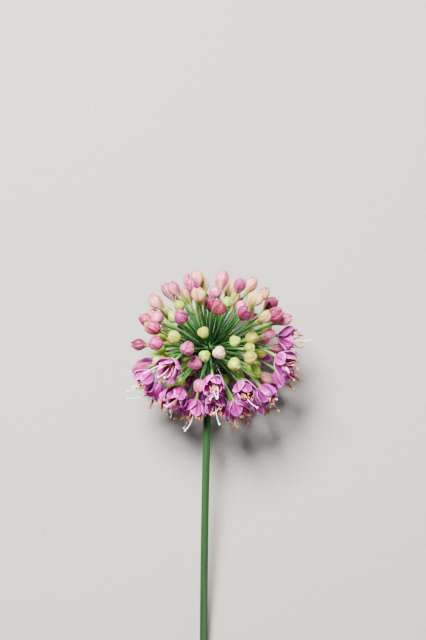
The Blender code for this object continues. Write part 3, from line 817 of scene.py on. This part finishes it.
def weave_stamen(weave, skins, turn, lean, length, draw):
    """A filament with its anther: a few are fresh and long, the others shed and short, or withered."""
    age = draw.random()
    lean = radians(lean + draw.uniform(-5, 9))
    turn += draw.uniform(-0.3, 0.3)
    root = around_axis(turn, *FILAMENT_ROOT)
    if age < FRESH_SHARE:
        skin, anther, shares = skins["filament"], skins["new_anther"], FRESH_REACH
    elif age < SHED_SHARE:
        skin, anther, shares = skins["old_filament"], skins["old_anther"], SHED_REACH
    else:
        skin, anther, shares = skins["withered"], None, WITHERED_REACH
    reach = length * MM * draw.uniform(*shares)
    tip = around_axis(turn, TIP_OUT + reach * sin(lean), TIP_UP + reach * cos(lean))
    sway = draw.uniform(0.5, 1.4) * draw.choice((-1, 1))
    knee = around_axis(turn + sway, 1.5 * MM + reach * sin(lean) * 0.5, reach * 0.62)
    out = Vector((tip.x, tip.y, 0)).normalized()
    cross = Vector((-out.y, out.x, 0))
    axis = (out * draw.uniform(-0.3, 1) + cross * draw.uniform(-0.8, 0.8) + Vector((0, 0, 0.5))).normalized()
    if anther:
        weave.tube(skin, bent(root, knee, tip), lambda t: FILAMENT_RADIUS * (1.5 - 0.7 * t), 6, 12)
        size = 0.5 if anther == skins["new_anther"] else draw.uniform(0.75, 1.1)
        weave.ball(anther, tip, axis, ANTHER_LENGTH * size, ANTHER_WIDTH, tint=draw.random())
        return
    tip += axis * draw.uniform(0.3, 1.0) * MM
    swing, thick, curl = draw.uniform(0, 6), draw.uniform(0.75, 1.25), cross * draw.uniform(-1, 1) * MM
    way = bent(root, knee, tip)

    def shrivelled(t):
        clump = sin(pi * max(0.0, (t - WITHERED_FROM) / (1 - WITHERED_FROM))) ** 0.7
        swollen = (0.22 + 0.06 * sin(22 * t + swing)) * clump
        return thick * (0.1 + swollen) * MM * min(1, 12.5 * (1.03 - t))

    weave.tube(skin, lambda t: way(t) + curl * t**4, shrivelled, 8, 22, tint=draw.random())


def weave_pistil(weave, ovary_skin, style_skin, draw):
    """The three-lobed ovary in the middle of the cup, and its style: long in some, with a round stigma."""

    def ovary(across, along):
        share = 0.5 - 0.5 * cos(pi * along)
        radius = swell(share, OVARY_WIDTH, 1.0, 0.8)
        radius *= 1 + 0.12 * cos(3 * pi * across) * sin(pi * share)
        return around_axis(pi * across, max(radius, LEAST), share * OVARY_LENGTH), across, share

    weave.surface(ovary_skin, ovary, 18, 8, around=True)
    top = Vector((0, 0, OVARY_LENGTH * 0.9))
    sway = Vector((draw.uniform(-1.7, 1.7), draw.uniform(-1.7, 1.7), 0)) * MM
    long_style = draw.random() < LONG_STYLE_SHARE
    height = STYLE_TOP * draw.uniform(*(LONG_STYLE if long_style else SHORT_STYLE))
    tip = Vector((0, 0, height)) + sway
    knee = Vector((0, 0, height * 0.75)) - sway * 0.5
    weave.tube(style_skin, bent(top, knee, tip), lambda t: STYLE_RADIUS, 6, 14)
    weave.ball(style_skin, tip, Vector((0, 0, 1)), STIGMA_WIDTH, STIGMA_WIDTH)


def dress_open_florets(florets, flower, skins):
    """Every open floret: six tepals in two whorls, and within them stamens and pistil."""
    for number, place in enumerate(florets, 1):
        draw = random.Random(SEED + 77 * number)
        outer, inner, lean, length = OPEN_FORMS[place.form]
        name = f"open_floret_{number:02d}"
        cup = Weave([skins["tepal"]])
        heart = Weave([skins[part] for part in HEART_PARTS])
        flare = draw.uniform(-7, 6)
        for i in range(6):
            turn = radians(60 * i)
            (start, end), root = (inner, INNER_ROOT) if i % 2 else (outer, OUTER_ROOT)
            weave_tepal(cup, skins["tepal"], turn, start, end + flare, root, draw)
            weave_stamen(heart, skins, turn, lean, length, draw)
        weave_pistil(heart, skins["ovary"], skins["style"], draw)
        matrix = flower @ upright(place)
        cup.piece(f"{name}_tepals", matrix, name, thickness=TEPAL_THICKNESS)
        heart.piece(f"{name}_stamens", matrix, name)


# ---- stems


def dress_umbel(florets, flower, skins):
    """Receptacle, pedicels and the young buds that are fused to them."""
    stems = Weave([skins["pedicel"], skins["receptacle"]])
    buds = Weave([skins[kind] for kind in ("green_bud", "cream_young_bud", "rose_young_bud")])
    draw = random.Random(UMBEL_SEED)

    def knob(across, along):
        swing = pi * min(along, KNOB_SHARE)
        out, up = KNOB_RADIUS * sin(swing) ** 0.8, KNOB_HEIGHT * cos(swing)
        if along >= KNOB_SHARE:
            down = (along - KNOB_SHARE) / (1 - KNOB_SHARE)
            out += (NECK_RADIUS - out) * min(1, 2 * down)
            up = up * (1 - down) - NECK_FOOT * down
        return around_axis(-pi * across, max(out, LEAST), up), across, 0.15

    stems.surface(skins["receptacle"], knob, 32, 22, around=True, tint=0.3)
    for place in florets:
        start = place.way * PEDICEL_ROOT
        stray = Vector([draw.gauss(0, PEDICEL_WANDER) for _ in range(3)])
        knee = place.base - place.axis * (PEDICEL_KNEE * place.base.length) + stray
        end = place.base + place.axis * TEPAL_SEAT
        thick = PEDICEL_RADIUS * draw.uniform(0.86, 1.05)

        def radius(t, thick=thick):
            return thick * (0.85 + 0.2 * t) + FLARE * max(0.0, (t - FLARE_FROM) / (1 - FLARE_FROM)) ** 2

        stems.tube(skins["pedicel"], bent(start, knee, end), radius, 9, 18, tint=draw.random())
        if place.stage == "green":
            skin = young_skin(place, skins, draw)
            weave_bud(buds, skin, "green", place.form, draw, upright(place), SMALL_BUD_GRID)
    stems.piece("umbel_pedicels", flower, "umbel")
    buds.piece("umbel_young_buds", flower, "umbel")


def dress_stalk(flower, skins):
    """The scape: slightly two-edged, gently bowed, and cut clean at its lower end."""
    weave = Weave([skins["scape"], skins["cut"]])
    top = NECK_FOOT + LEAST

    def along_stalk(across, along):
        height = STALK_LENGTH + (top - STALK_LENGTH) * along
        down = height / STALK_LENGTH
        size = 1 - STALK_TAPER * along
        turn = -pi * across
        edge = 1 + STALK_EDGE * cos(2 * turn) ** 3 - STALK_EDGE
        rib = 1 - RIB_DEPTH * (1 - cos(STALK_RIBS * turn)) / 2
        x = STALK_HALF_WIDTH * size * edge * rib * cos(turn) - STALK_BOW * down * (2 - down)
        y = STALK_HALF_DEPTH * size * rib * sin(turn)
        return Vector((x, y, -height)), both_ways(across), along

    def cut_face(across, along):
        turn = -pi * across
        x = STALK_HALF_WIDTH * CUT_SHARE * along * cos(turn) - STALK_BOW
        y = STALK_HALF_DEPTH * CUT_SHARE * along * sin(turn)
        hollow = PITH_DEPTH * max(0.0, 1 - along / PITH_SHARE)
        return Vector((x, y, -STALK_LENGTH + hollow)), across, along

    weave.surface(skins["scape"], along_stalk, 12 * STALK_RIBS, 60, around=True)
    weave.surface(skins["cut"], cut_face, 36, 6, around=True)
    weave.piece("stalk_skin", flower, "stalk")


# ---- the picture


def add_table():
    """A wide pale card for the flower to lie on."""
    bm = bmesh.new()
    bmesh.ops.create_grid(bm, x_segments=1, y_segments=1, size=TABLE_REACH)
    mesh = bpy.data.meshes.new("table")
    bm.to_mesh(mesh)
    bm.free()
    mesh.materials.append(table_paper())
    table = bpy.data.objects.new("table", mesh)
    bpy.context.scene.collection.objects.link(table)


def add_light(name, place, target, size, watts, colour):
    """A square soft light at place, aimed at the target."""
    light = bpy.data.lights.new(name, "AREA")
    light.size = size
    light.energy = watts
    light.color = linear(colour)[:3]
    lamp = bpy.data.objects.new(name, light)
    lamp.location = place
    lamp.rotation_euler = (target - lamp.location).to_track_quat("-Z", "Y").to_euler()
    bpy.context.scene.collection.objects.link(lamp)


def add_lights(target):
    """Soft studio light: a key from over the flower's top, a weak one from the right, and an even sky."""
    key, fill = target + Vector((-0.12, 0.2, 0.48)), target + Vector((0.4, -0.1, 0.3))
    add_light("key", key, target, size=0.22, watts=20.5, colour="#FFFBF5")
    add_light("fill", fill, target, size=0.35, watts=0.8, colour="#EEF3FF")
    world = bpy.data.worlds.new("studio")
    world.use_nodes = True
    backdrop = world.node_tree.nodes["Background"]
    backdrop.inputs["Color"].default_value = linear("#F2F3F5")
    backdrop.inputs["Strength"].default_value = 0.1
    bpy.context.scene.world = world


def add_camera(flower):
    """Looks down square on the stalk from a little way off, the flower's top upwards in the picture."""
    lens, sensor = 90.0, 36.0
    picture_height = 186.0 * MM
    distance = picture_height * lens / sensor
    aim = flower @ Vector((1.1 * MM, 0, 8.4 * MM))
    turned = flower.to_3x3()
    towards = turned @ Vector((0, -1, 0))
    camera = bpy.data.cameras.new("camera")
    camera.lens = lens
    camera.sensor_width = sensor
    camera.clip_start = 0.01
    view = bpy.data.objects.new("camera", camera)
    right, up = turned @ Vector((1, 0, 0)), turned @ Vector((0, 0, 1))
    facing = Matrix((right, up, towards)).transposed().to_4x4()
    view.matrix_world = Matrix.Translation(aim + towards * distance) @ facing
    bpy.context.scene.collection.objects.link(view)
    bpy.context.scene.camera = view


def main():
    flower = laid_flower()
    add_camera(flower)
    add_lights(flower.translation)
    add_table()

    florets = places()
    late = late_places(florets)
    # The greens of the stems, from their foot to their top. The scape darkens towards the head: painted
    # shade under the head.
    scape_greens_and_shade = ((0.0, "#1A341C"), (0.5, "#153613"), (0.8, "#12380E"), (1.0, "#081F09"))
    # The pedicels are nearly black at their roots: painted shade deep inside the head. They grow paler green
    # towards the florets.
    pedicel_greens_and_shade = ((0.0, "#041806"), (0.35, "#0A2E0F"), (0.75, "#1D541C"), (1.0, "#7A9E44"))
    skins = {
        "tepal": petal_tissue("lilac_tepal", "#AE5E94", "#B8229E", "#D440C0", "#FA94F2", "#560A50", 1.45),
        "filament": thread_tissue("filament", "#D77FBB", "#F6EAEE"),
        "old_filament": thread_tissue("withered_filament", "#C4609A", "#B4695A"),
        "style": thread_tissue("style", "#E9D7E4", "#FBF8F2"),
        "withered": withered_thread(),
        "old_anther": pollen_sac("shed_anther", "#7A3A1C", "#E0934E"),
        "new_anther": pollen_sac("fresh_anther", "#E8D2A8", "#FBF3E2"),
        "ovary": petal_tissue("ovary", "#A8BC60", "#C08C90", "#CF8CA8", "#D0C088", "#7F9A48"),
        "receptacle": stem_skin("receptacle_skin", ((0.0, "#12421A"), (1.0, "#1E5A24")), "#2C6A2A", 0.6),
        # The pedicels' pale streaks are partly painted highlights.
        "pedicel": stem_skin("pedicel_skin", pedicel_greens_and_shade, "#66A65A", 0.27),
        "green_bud": young_bud_skin(
            "green_bud_skin", "#4C8420", "#88B42C", "#9CBE3C", "#D4E678", "#5A8424", "#9A7830"
        ),
        "cream_young_bud": young_bud_skin(
            "cream_bud_skin", "#A9B860", "#E0CFA0", "#E6BFA0", "#F4EBCB", "#C9AE72", "#D08C84"
        ),
        "rose_young_bud": young_bud_skin(
            "rose_bud_skin", "#B7A070", "#CE5C92", "#BE4684", "#EC9CC0", "#9E2F6C", "#8E2C64"
        ),
        "scape": stem_skin("scape_skin", scape_greens_and_shade, "#41703A", 0.5),
        "cut": cut_stem_flesh(),
    }
    # The rose buds' tips are lighter than their bodies: partly their own colour, partly a painted highlight
    # on the buds' ends.
    rose_buds = (
        petal_tissue("rose_tepal", "#8A7440", "#961C50", "#BA3478", "#D8689E", "#501428", 1.45, 0.3, 0.85),
        petal_tissue("salmon_tepal", "#8C7E3E", "#9A2E48", "#B2445E", "#CE7474", "#581A22", 1.35, 0.35, 0.8),
        petal_tissue("mauve_tepal", "#928256", "#A83076", "#C04490", "#E078B2", "#641E44", 1.3, 0.3, 0.75),
    )
    pale_buds = (
        petal_tissue("peach_tepal", "#7E9636", "#C89C66", "#CC7A6C", "#F0D8AE", "#9C6838", 1.0, 0.5, 0.35),
        petal_tissue("blush_tepal", "#889A42", "#C8867A", "#C05676", "#EEC4B4", "#984658", 1.0, 0.45, 0.4),
        petal_tissue("ivory_tepal", "#829638", "#C8B680", "#CC9A7C", "#F2E8C8", "#94864A", 0.9, 0.55, 0.3),
        petal_tissue("pink_tepal", "#A2985E", "#C8648A", "#B24072", "#F0B2C4", "#862850", 1.1, 0.4, 0.45),
    )
    dress_stalk(flower, skins)
    dress_umbel(florets + late, flower, skins)
    dress_open_florets(of_stage("open", florets), flower, skins)
    dress_buds("pink", of_stage("pink", florets), flower, rose_buds)
    dress_buds("pale", of_stage("pale", florets), flower, pale_buds)
    dress_late_buds("pink", of_stage("pink", late), flower, rose_buds)
    dress_late_buds("pale", of_stage("pale", late), flower, pale_buds)


main()
